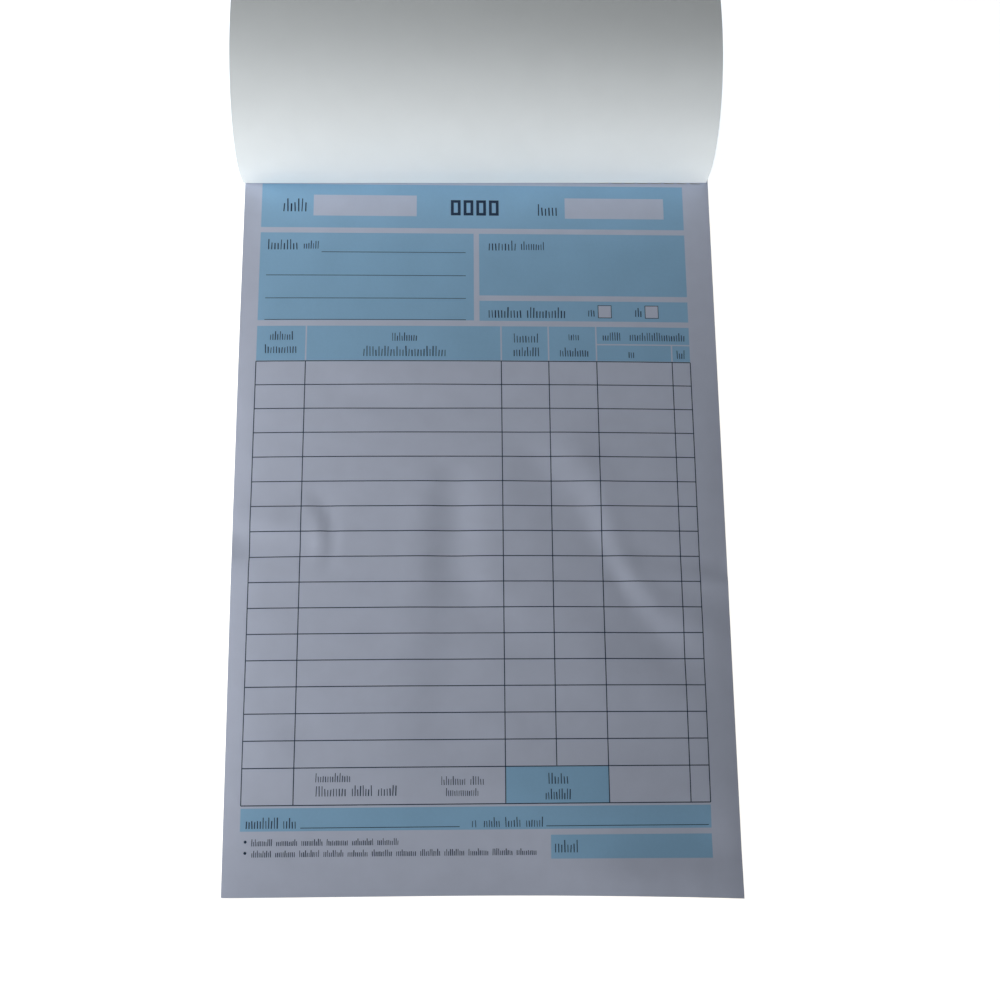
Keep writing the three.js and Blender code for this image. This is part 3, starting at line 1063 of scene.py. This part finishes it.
def bezier(start, control, stop, share):
    """Point and direction on a quadratic curve."""
    point = (1 - share) ** 2 * start + 2 * share * (1 - share) * control + share ** 2 * stop
    slope = 2 * (1 - share) * (control - start) + 2 * share * (stop - control)
    return point, slope.normalized()


def straight(start, stop, share):
    """Point and direction on a straight run."""
    return start.lerp(stop, share), (stop - start).normalized()


def curl_hinges():
    """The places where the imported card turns, from the crease to the panel."""
    names = sorted(name for name in JOINTS if name.startswith("cover_curl_"))
    return [CREASE] + [joint_place(name) for name in names]


# How high the card's free edge lies over the table, and how much of its half thickness its tilt
# takes the edge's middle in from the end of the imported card
TABLE_GAP = 0.05 * MM
EDGE_TILT = 0.3


def cover_end(half_thickness):
    """Middle of the card's free edge, which rests on the table."""
    panel_back = node_box("cover_panel")[1].y
    return Vector((0, panel_back - EDGE_TILT * half_thickness, half_thickness + TABLE_GAP))


# The card lies a little to the left of the pad and is a trace wider, as the photo shows
CARD_SHIFT = -0.75
CARD_SPREAD = 1.002
# The fold's place at the left edge, its slope across the page, and where along the card it fades out
SKEW_LEFT = -0.05
SKEW_SLOPE = 0.0108
SKEW_REACH = 60.0
FLANGE_LENGTH = 8.5


def fold_offset(x):
    """How far the fold strays from the crease line, in millimetres: a hand folded it not quite square."""
    return SKEW_LEFT + SKEW_SLOPE * (x + HALF_PAGE)


def card_offset(x, distance):
    """The fold's stray, which fades along the card in millimetres from the crease."""
    if distance < 0:
        return fold_offset(x) * max(0.0, 1 + distance / FLANGE_LENGTH)
    return fold_offset(x) * (1 - smooth_step(distance / SKEW_REACH))


# What is printed on the outside of the cover: left, nearest and right, farthest from the crease, in mm
COVER_LABEL = ((-46.0, 88.0, 46.0, 128.0), (-44.5, 89.5, 44.5, 126.5), (-43.9, 90.1, 43.9, 125.9))
CARD_INSIDE, CARD_BLUE, CARD_WHITE, CARD_LINE = 0, 1, 2, 3
# Cells across the card in millimetres, points along each of its stretches, and the panel's cells
CARD_STEP = 10.0
BOUND_STEPS = 6
FOLD_STEPS = 10
STRIP_STEPS = 8
CURVE_STEPS = 56
PANEL_STEP = 3.0 * MM
# Makes the deepest point of the panel's hanging curve as deep as the sag
SAG_SHAPE = 27 / 4


def cover_paint(x, distance, side):
    """Plain blue outside with a framed blank label; the inside is bare."""
    if side == LOWER:
        return CARD_INSIDE
    place = CARD_BLUE
    for (left, near, right, far), finish in zip(COVER_LABEL, (CARD_WHITE, CARD_LINE, CARD_WHITE)):
        if left < x < right and near * MM < distance < far * MM:
            place = finish
    return place


def make_card(name, stations, half_thickness, materials):
    """A stretch of card over stations of (distance, point, direction); its lower side is the inside."""
    by_distance = {station[0]: station[1:] for station in stations}
    edges = [edge for left, near, right, far in COVER_LABEL for edge in (left, right)]
    across = grid_lines(-HALF_PAGE, HALF_PAGE, CARD_STEP, edges)

    def place(x, distance, side):
        point, direction = by_distance[distance]
        outward = Vector((0, -direction.z, direction.y))
        # the inside is the face that meets the page when the cover is shut
        offset = half_thickness if side == UPPER else -half_thickness
        skewed = Vector(((x * CARD_SPREAD + CARD_SHIFT) * MM,
                         point.y + card_offset(x, distance / MM) * MM, point.z))
        return skewed - outward * offset

    return thin_body(name, across, sorted(by_distance), place, materials, paint=cover_paint)


class BILLBOOK_OT_cover(bpy.types.Operator):
    """Makes the card cover: bound strip, crease, curl and free panel"""

    bl_idname = "billbook.cover"
    bl_label = "Cover"

    def execute(self, context):
        settings = context.scene.bill_book_cover
        materials = [
            bleached_card("bleached_card_inside", tuple(settings.inside)),
            printed_card("blue_coated_card", tuple(settings.outside)),
            bleached_card("white_label_print", LABEL_WHITE),
            printed_card("dark_label_line", LABEL_LINE),
        ]
        low, high = node_box("cover_flange")
        half_thickness = (high.z - low.z) / 2
        hinges = curl_hinges()
        end = cover_end(half_thickness)
        middles = [(a + b) / 2 for a, b in zip(hinges, hinges[1:])]
        reach = (hinges[-1] - hinges[-2]).length / 2
        middles.append(hinges[-1] + (end - hinges[-1]).normalized() * reach)

        # bound strip, sharp fold and the first half of the first strip
        radius = settings.fold_radius
        bound = Vector((0, high.y, CREASE.z))
        fold_in = CREASE + Vector((0, radius, 0))
        fold_out = CREASE + (hinges[1] - CREASE).normalized() * radius
        runs = [[straight(bound, fold_in, step / BOUND_STEPS) for step in range(BOUND_STEPS + 1)],
                [bezier(fold_in, CREASE, fold_out, step / FOLD_STEPS) for step in range(1, FOLD_STEPS + 1)],
                [straight(fold_out, middles[0], step / STRIP_STEPS) for step in range(1, STRIP_STEPS + 1)]]
        stations, distance = self.stations(runs, -(bound - CREASE).length)
        crease_piece = make_card("cover_crease", stations, half_thickness, materials)
        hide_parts("cover_flange", "cover_bend_1")
        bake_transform(crease_piece)

        # each curl bends over the joint between two strips
        last = len(hinges) - 1
        for index in range(1, len(hinges)):
            run = [bezier(middles[index - 1], hinges[index], middles[index], step / CURVE_STEPS)
                   for step in range(CURVE_STEPS + 1)]
            stations, distance = self.stations([run], distance)
            piece = make_card(f"cover_curl_{index}_card", stations, half_thickness, materials)
            if index < last:
                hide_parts(f"cover_bend_{index + 1}")
            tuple(middles[index - 1])
            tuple(middles[index])
            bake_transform(piece)

        panel = self.panel(middles[-1], end, distance, half_thickness, settings.sag, materials)
        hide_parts("cover_panel")
        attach(panel, "cover")
        return {"FINISHED"}

    @staticmethod
    def stations(runs, distance):
        """Numbers the points of some runs by their distance along the card from the crease."""
        found = []
        previous = None
        for point, direction in (spot for run in runs for spot in run):
            if previous is not None:
                distance += (point - previous).length
            previous = point
            found.append((distance, point, direction))
        return found, distance

    @staticmethod
    def panel(start, end, distance, half_thickness, sag, materials):
        """The free panel, which hangs a little under the straight line to its edge."""
        length = (end - start).length
        forward = (end - start).normalized()
        down = Vector((0, forward.z, -forward.y))
        marks = [edge * MM for left, near, right, far in COVER_LABEL for edge in (near, far)]
        stations = []
        for mark in grid_lines(distance, distance + length, PANEL_STEP, marks):
            share = (mark - distance) / length
            # no slope where the panel joins the curl
            depth = sag * SAG_SHAPE * share ** 2 * (1 - share)
            slope = sag * SAG_SHAPE * (2 * share - 3 * share ** 2) / length
            direction = (forward + down * slope).normalized()
            stations.append((mark, start + forward * (mark - distance) + down * depth, direction))
        return make_card("cover_panel_card", stations, half_thickness, materials)


# How far above the crease the tape's front edge lies, and the room round a staple on its back
TAPE_MARGIN = 1.0 * MM
POCKET_GAP = 0.3 * MM
# The tape's cells across in millimetres, and its points along the front, head and folds, and the back
TAPE_STEP = 6.0
TAPE_STEPS = 8
TAPE_BACK_STEPS = 24


class BILLBOOK_OT_binding_tape(bpy.types.Operator):
    """Makes the cotton tape, folded from the cover's bound strip over the head to the board"""

    bl_idname = "billbook.binding_tape"
    bl_label = "Binding tape"

    def execute(self, context):
        settings = context.scene.bill_book_binding
        low, high = node_box("binding_tape")
        thickness = high.z - node_box("cover_flange")[1].z
        radius = settings.fold_radius
        front = CREASE.y + TAPE_MARGIN
        head = high.y - radius
        outline = self.outline(front, low.y, high.y, high.z, low.z, radius)
        points = [point for point, outward in outline]
        distances = [0.0]
        for point, following in zip(points, points[1:]):
            distances.append(distances[-1] + (following - point).length)
        spots = dict(zip(distances, outline))

        pockets = []
        for staple in ("staple_left", "staple_right"):
            staple_low, staple_high = node_box(staple)
            pockets.append((staple_low.x - POCKET_GAP, staple_high.x + POCKET_GAP,
                            staple_low.y - POCKET_GAP, staple_high.y + POCKET_GAP))
        edges = [edge / MM for left, right, foot, top in pockets for edge in (left, right)]
        across = grid_lines(low.x / MM, high.x / MM, TAPE_STEP, edges)

        def keep(x, distance):
            nearest = min(distances, key=lambda d: abs(d - distance))
            point = spots[nearest][0]
            on_back = point.z < thickness
            return not (on_back and any(left < x * MM < right and foot < point.y < top
                                        for left, right, foot, top in pockets))

        def place(x, distance, side):
            point, outward = spots[distance]
            on_front = point.z == high.z
            share = (head - point.y) / (head - front) if on_front else 0.0
            skewed = Vector((x * MM, point.y + fold_offset(x) * share * MM, point.z))
            # the outline is the outer face
            return skewed - (Vector() if side == UPPER else outward * thickness)

        piece = thin_body("binding_tape_cotton", across, distances, place,
                          [cotton_tape("sized_cotton_tape", tuple(settings.tape))], keep=keep)
        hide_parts("binding_tape")
        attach(piece, "pad")
        return {"FINISHED"}

    @staticmethod
    def outline(front, back, head, top, bottom, radius):
        """The outer line of the folded tape as points and outward directions, front edge first."""
        fold = head - radius
        points = [(Vector((0, front, top)), Vector((0, 0, 1)))]

        def run(start, stop, outward, steps):
            for step in range(1, steps + 1):
                spot = [a + (b - a) * step / steps for a, b in zip(start, stop)]
                points.append((Vector((0, *spot)), Vector((0, *outward))))

        def turn(height, first_angle):
            for step in range(1, TAPE_STEPS + 1):
                angle = first_angle - math.pi / 2 * step / TAPE_STEPS
                outward = Vector((0, math.cos(angle), math.sin(angle)))
                points.append((Vector((0, fold, height)) + outward * radius, outward))

        run((front, top), (fold, top), (0, 1), TAPE_STEPS)
        turn(top - radius, math.pi / 2)
        run((head, top - radius), (head, bottom + radius), (1, 0), TAPE_STEPS)
        turn(bottom + radius, 0.0)
        run((fold, bottom), (back, bottom), (0, -1), TAPE_BACK_STEPS)
        return points


# The staples' ends, which turn in under the board, the reach of their bends and the points on a bend
CLINCH = 4.0 * MM
WIRE_BEND = 0.9 * MM
WIRE_BEND_STEPS = 8
WIRE_ROUNDNESS = 5


class BILLBOOK_OT_staples(bpy.types.Operator):
    """Makes the two wire staples, clinched under the board"""

    bl_idname = "billbook.staples"
    bl_label = "Staples"

    def execute(self, context):
        wire = galvanised_wire("galvanised_staple_wire", ZINC_GREY)
        for node in ("staple_left", "staple_right"):
            low, high = node_box(node)
            radius = (high.y - low.y) / 2
            middle = (low + high) / 2
            half = (high.x - low.x) / 2 - radius
            top, bottom = high.z - radius, low.z + radius
            corners = [(-half + CLINCH, bottom), (-half, bottom), (-half, top),
                       (half, top), (half, bottom), (half - CLINCH, bottom)]
            path = self.rounded(corners)
            curve = bpy.data.curves.new(f"{node}_wire", "CURVE")
            curve.dimensions = "3D"
            curve.bevel_depth = radius
            curve.bevel_resolution = WIRE_ROUNDNESS
            curve.use_fill_caps = True
            spline = curve.splines.new("POLY")
            spline.points.add(len(path) - 1)
            for point, (x, z) in zip(spline.points, path):
                point.co = (middle.x + x, middle.y, z, 1)
            curve.materials.append(wire)
            piece = bpy.data.objects.new(f"{node}_wire", curve)
            bpy.context.scene.collection.objects.link(piece)
            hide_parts(node)
            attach(piece, "pad")
        return {"FINISHED"}

    @staticmethod
    def rounded(corners):
        """The corners joined by straight runs and small curves."""
        points = [Vector(corners[0])]
        for before, corner, after in zip(corners, corners[1:], corners[2:]):
            corner = Vector(corner)
            start = corner + (Vector(before) - corner).normalized() * WIRE_BEND
            stop = corner + (Vector(after) - corner).normalized() * WIRE_BEND
            shares = [step / WIRE_BEND_STEPS for step in range(WIRE_BEND_STEPS + 1)]
            points += [bezier(start, corner, stop, share)[0] for share in shares]
        points.append(Vector(corners[-1]))
        return points


# Facets of the board's worn edges
WEAR_SEGMENTS = 3


class BILLBOOK_OT_back_board(bpy.types.Operator):
    """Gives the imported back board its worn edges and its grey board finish"""

    bl_idname = "billbook.back_board"
    bl_label = "Back board"

    def execute(self, context):
        settings = context.scene.bill_book_binding
        board = frame["nodes"]["back_board"]
        wear = board.modifiers.new("worn_edges", "BEVEL")
        wear.width = settings.board_wear
        wear.segments = WEAR_SEGMENTS
        wear.limit_method = "ANGLE"
        finish = grey_board("recycled_grey_board", tuple(settings.board))
        board.data.materials.clear()
        board.data.materials.append(finish)
        return {"FINISHED"}


# Where the photograph was taken from, in metres, and how the camera was held
CAMERA_PLACE = Vector((-0.00863, -0.08649, 0.37229))
CAMERA_FORWARD = Vector((0.0383, 0.2353, -0.9712))
CAMERA_RIGHT = Vector((0.99928, -0.00896, 0.03692))
SENSOR = 36.0
NEAREST_SEEN = 10 * MM

# What the lamps point at, and each lamp's place and size, in metres
LIT_PLACE = Vector((0, 0, 0.01))
FRONT_LIGHT = ((-0.35, -1.2, 0.22), (1.3, 0.35))
WINDOW_LIGHT = ((-0.40, 0.07, 0.115), (0.22, 0.14))
CEILING_LIGHT = ((-0.08, 0.10, 0.36), (0.3, 0.25))
# The paper sweep, in metres: how far it lies flat, how far it bends up from there, and its facets
SWEEP_REACH = 8.8
SWEEP_BEND = 3.6
SWEEP_STEPS = 10
SWEEP_SIDES = 72
FLOOR_GAP = 0.05 * MM


class BILLBOOK_OT_stage(bpy.types.Operator):
    """Sets up the floor, the soft lights and the camera"""

    bl_idname = "billbook.stage"
    bl_label = "Stage"

    def execute(self, context):
        settings = context.scene.bill_book_stage
        scene = context.scene
        scene.view_settings.view_transform = "Standard"
        self.floor(settings)
        self.room(scene, settings)
        self.lamp("front_light", *FRONT_LIGHT, settings.front_power)
        self.lamp("window_light", *WINDOW_LIGHT, settings.window_power)
        self.lamp("ceiling_light", *CEILING_LIGHT, settings.ceiling_power)
        self.camera(scene, settings)
        return {"FINISHED"}

    @staticmethod
    def floor(settings):
        """A round sweep of pale paper, flat under the pad and bent up far away from it."""
        body = bmesh.new()
        profile = [(SWEEP_REACH, 0.0)]
        for step in range(1, SWEEP_STEPS + 1):
            turn = math.pi / 2 * step / SWEEP_STEPS
            profile.append((SWEEP_REACH + SWEEP_BEND * math.sin(turn), SWEEP_BEND * (1 - math.cos(turn))))
        turns = [math.tau * index / SWEEP_SIDES for index in range(SWEEP_SIDES)]
        rings = []
        for reach, rise in profile:
            rings.append([body.verts.new((reach * math.cos(a), reach * math.sin(a), rise - FLOOR_GAP))
                          for a in turns])
        body.faces.new(rings[0])
        for inner, outer in zip(rings, rings[1:]):
            for index in range(SWEEP_SIDES):
                following = (index + 1) % SWEEP_SIDES
                face = body.faces.new((inner[index], outer[index], outer[following], inner[following]))
                face.smooth = True
        floor = finish_body(body, "floor", [sweep_paper("pale_paper_sweep", settings)])

    @staticmethod
    def room(scene, settings):
        """Even light from all round."""
        world = bpy.data.worlds.new("soft_room")
        world.use_nodes = True
        background = world.node_tree.nodes["Background"]
        background.inputs["Color"].default_value = linear(ROOM_WHITE)
        background.inputs["Strength"].default_value = settings.sky
        scene.world = world

    @staticmethod
    def lamp(name, place, size, power):
        """A soft rectangular lamp that points at the pad and isn't seen itself."""
        light = bpy.data.lights.new(name, "AREA")
        light.shape = "RECTANGLE"
        light.size, light.size_y = size
        light.energy = power
        lamp = bpy.data.objects.new(name, light)
        lamp.location = place
        lamp.rotation_euler = (LIT_PLACE - Vector(place)).to_track_quat("-Z", "Y").to_euler()
        lamp.visible_camera = False
        bpy.context.scene.collection.objects.link(lamp)

    @staticmethod
    def camera(scene, settings):
        """The camera, held as the photograph's was."""
        data = bpy.data.cameras.new("photo_camera")
        data.sensor_width = SENSOR
        data.lens = settings.lens
        data.clip_start = NEAREST_SEEN
        camera = bpy.data.objects.new("photo_camera", data)
        back = -CAMERA_FORWARD.normalized()
        right = (CAMERA_RIGHT - back * CAMERA_RIGHT.dot(back)).normalized()
        up = back.cross(right)
        turn = Matrix((right, up, back)).transposed().to_4x4()
        camera.matrix_world = Matrix.Translation(CAMERA_PLACE) @ turn
        scene.collection.objects.link(camera)
        scene.camera = camera


class BILLBOOK_PT_panel(bpy.types.Panel):
    """Lists the bill book's steps and settings"""

    bl_idname = "BILLBOOK_PT_panel"
    bl_label = "Bill book"
    bl_space_type = "VIEW_3D"
    bl_region_type = "UI"
    bl_category = "Bill book"

    def draw(self, context):
        layout = self.layout
        for operator in OPERATORS:
            layout.operator(operator.bl_idname)
        for group in (getattr(context.scene, name) for name, kind in GROUPS):
            box = layout.box()
            for name in group.__annotations__:
                box.prop(group, name)


GROUPS = (
    ("bill_book_form", BillBookForm),
    ("bill_book_cover", BillBookCover),
    ("bill_book_binding", BillBookBinding),
    ("bill_book_stage", BillBookStage),
)
OPERATORS = (
    BILLBOOK_OT_stage,
    BILLBOOK_OT_form_leaves,
    BILLBOOK_OT_loose_leaves,
    BILLBOOK_OT_leaf_blocks,
    BILLBOOK_OT_carbon_sheet,
    BILLBOOK_OT_cover,
    BILLBOOK_OT_binding_tape,
    BILLBOOK_OT_staples,
    BILLBOOK_OT_back_board,
)


def register():
    for name, group in GROUPS:
        bpy.utils.register_class(group)
        setattr(bpy.types.Scene, name, PointerProperty(type=group))
    for operator in OPERATORS:
        bpy.utils.register_class(operator)
    bpy.utils.register_class(BILLBOOK_PT_panel)


def unregister():
    bpy.utils.unregister_class(BILLBOOK_PT_panel)
    for operator in reversed(OPERATORS):
        bpy.utils.unregister_class(operator)
    for name, group in reversed(GROUPS):
        delattr(bpy.types.Scene, name)
        bpy.utils.unregister_class(group)


def main():
    register()
    bpy.ops.billbook.stage()
    bpy.ops.billbook.form_leaves()
    bpy.ops.billbook.loose_leaves()
    bpy.ops.billbook.leaf_blocks()
    bpy.ops.billbook.carbon_sheet()
    bpy.ops.billbook.cover()
    bpy.ops.billbook.binding_tape()
    bpy.ops.billbook.staples()
    bpy.ops.billbook.back_board()


if __name__ == "__main__":
    main()
